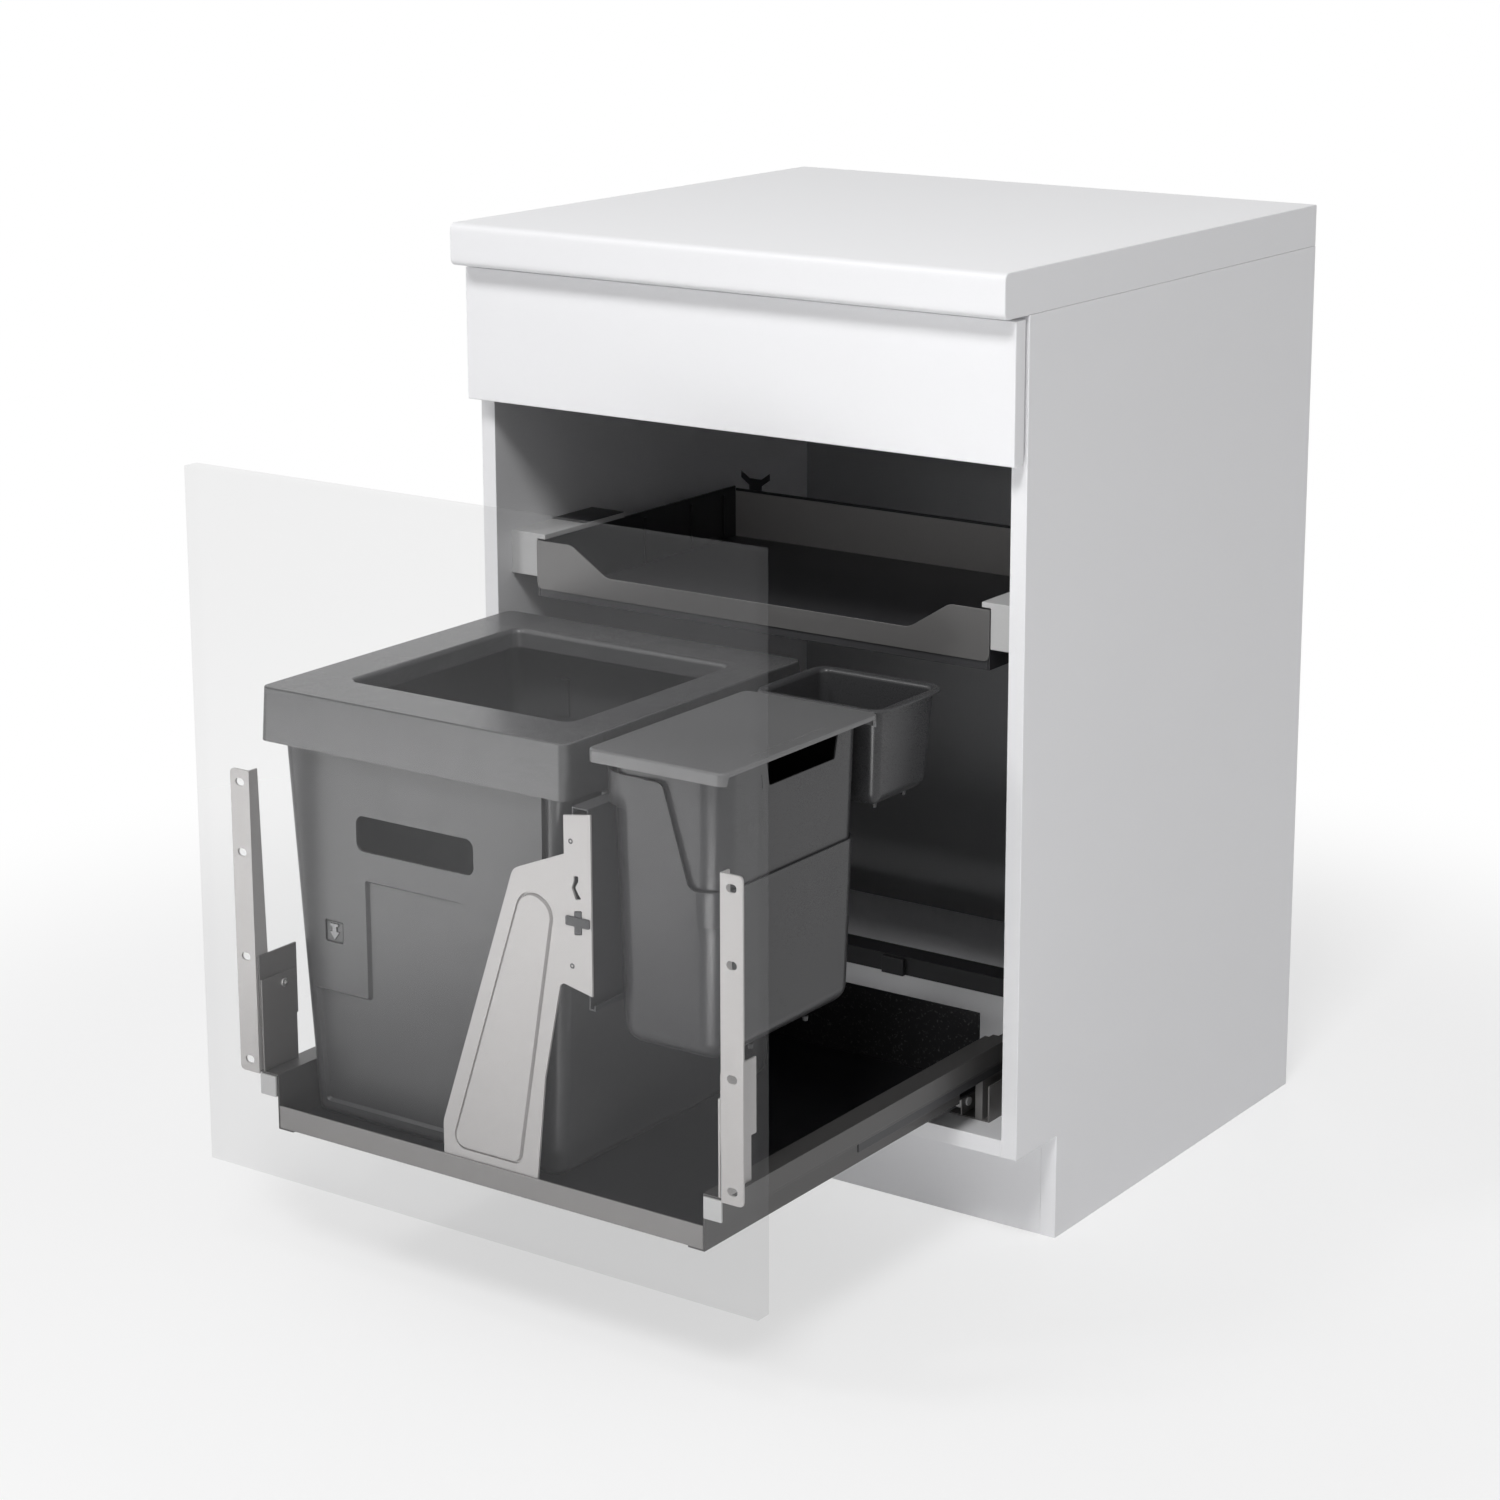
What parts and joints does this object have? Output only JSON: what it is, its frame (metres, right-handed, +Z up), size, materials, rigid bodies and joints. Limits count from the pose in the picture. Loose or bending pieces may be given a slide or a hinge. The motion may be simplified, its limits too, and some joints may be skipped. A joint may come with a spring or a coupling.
{
  "type": "pull out trash cabinet",
  "caption": "Kitchen base cabinet with worktop whose front pulls out a steel tray on runners, holding a large framed waste bin, a lidded small bin in a hanging holder and an open caddy.",
  "frame": {"origin": "middle of the overall footprint at floor level, with the door pulled out as in the picture", "axes": "+X to the right as seen from the front, +Y from the door towards the wall behind, +Z up"},
  "size_m": [0.6, 0.9424, 0.902],
  "materials": {
    "white_board": "satin",
    "see_through_front": "satin",
    "painted_steel": "satin",
    "dark_steel": "satin",
    "black_mat": "gloss",
    "speckled_plate": "matte",
    "grey_plastic": "satin",
    "light_plastic": "satin",
    "black_plastic": "satin"
  },
  "bodies": {
    "cabinet": {"side_panel_left": "white_board", "side_panel_right": "white_board", "bottom_panel": "white_board", "back_panel": "white_board", "front_stretcher": "white_board", "rear_stretcher": "white_board", "worktop": "white_board", "plinth_board": "white_board", "upper_front": "white_board", "front_bracket_left": "painted_steel", "front_bracket_right": "painted_steel", "floor_rail_left": "painted_steel", "floor_rail_right": "painted_steel", "rail_tie": "dark_steel", "closing_damper": "black_plastic", "shelf_front": "painted_steel", "shelf_base": "dark_steel", "shelf_rear": "painted_steel", "shelf_rear_trim": "black_plastic", "shelf_side_left": "black_plastic", "shelf_side_right": "black_plastic", "shelf_bracket_left": "light_plastic", "shelf_bracket_right": "light_plastic", "shelf_rear_hook_left": "black_plastic", "shelf_rear_hook_right": "black_plastic"},
    "roller_left": {"roller_left": "light_plastic"},
    "roller_right": {"roller_right": "light_plastic"},
    "runner_stage": {"middle_rail_left": "dark_steel", "middle_rail_right": "dark_steel"},
    "pull_out": {"side_channel_left": "painted_steel", "side_channel_right": "painted_steel", "moving_rail_left": "painted_steel", "moving_rail_right": "painted_steel", "rail_cap_left": "light_plastic", "rail_cap_right": "light_plastic", "front_rail": "painted_steel", "tray_floor": "dark_steel", "floor_mat": "black_mat", "rear_plate": "speckled_plate", "door": "see_through_front", "door_bracket_left": "painted_steel", "door_bracket_right": "painted_steel", "side_plate_left": "dark_steel", "side_plate_right": "painted_steel", "bracket_post_left": "painted_steel", "bracket_post_right": "painted_steel", "adjusting_screw_left": "light_plastic", "adjusting_screw_right": "light_plastic", "bin_support": "painted_steel", "beam_clip": "dark_steel", "support_screw_lower": "dark_steel", "support_screw_upper": "dark_steel", "hanging_beam": "dark_steel"},
    "large_bin": {"big_bin": "grey_plastic"},
    "large_bin_frame": {"bin_frame": "grey_plastic"},
    "small_holder": {"small_bin_holder": "grey_plastic"},
    "small_bucket": {"small_bucket": "grey_plastic"},
    "small_lid": {"small_bin_lid": "grey_plastic"},
    "caddy": {"caddy": "grey_plastic"}
  },
  "joints": [
    {"name": "pull_out_slide", "type": "slide", "parent": "cabinet", "child": "pull_out", "axis": [0, -1, 0], "range_m": [-0.38, 0.07]},
    {"name": "runner_stage_slide", "type": "slide", "parent": "cabinet", "child": "runner_stage", "axis": [0, -1, 0], "range_m": [-0.19, 0.035]},
    {"name": "roller_left_spin", "type": "hinge", "parent": "cabinet", "child": "roller_left", "pos_m": [-0.21895, -0.03075, 0.1277], "axis": [1, 0, 0], "continuous": true},
    {"name": "roller_right_spin", "type": "hinge", "parent": "cabinet", "child": "roller_right", "pos_m": [0.21895, -0.03075, 0.1277], "axis": [1, 0, 0], "continuous": true},
    {"name": "large_bin_lift", "type": "slide", "parent": "pull_out", "child": "large_bin", "axis": [0, 0, 1], "range_m": [0, 0.19]},
    {"name": "large_bin_frame_lift", "type": "slide", "parent": "large_bin", "child": "large_bin_frame", "axis": [0, 0, 1], "range_m": [0, 0.12]},
    {"name": "small_holder_lift", "type": "slide", "parent": "pull_out", "child": "small_holder", "axis": [0, 0, 1], "range_m": [0, 0.2]},
    {"name": "small_bucket_lift", "type": "slide", "parent": "small_holder", "child": "small_bucket", "axis": [0, 0, 1], "range_m": [0, 0.26]},
    {"name": "small_lid_lift", "type": "slide", "parent": "small_bucket", "child": "small_lid", "axis": [0, 0, 1], "range_m": [0, 0.1]},
    {"name": "caddy_lift", "type": "slide", "parent": "pull_out", "child": "caddy", "axis": [0, 0, 1], "range_m": [0, 0.18]}
  ],
  "couplings": [
    {"joint": "runner_stage_slide", "follows": "pull_out_slide", "ratio": 0.5}
  ]
}
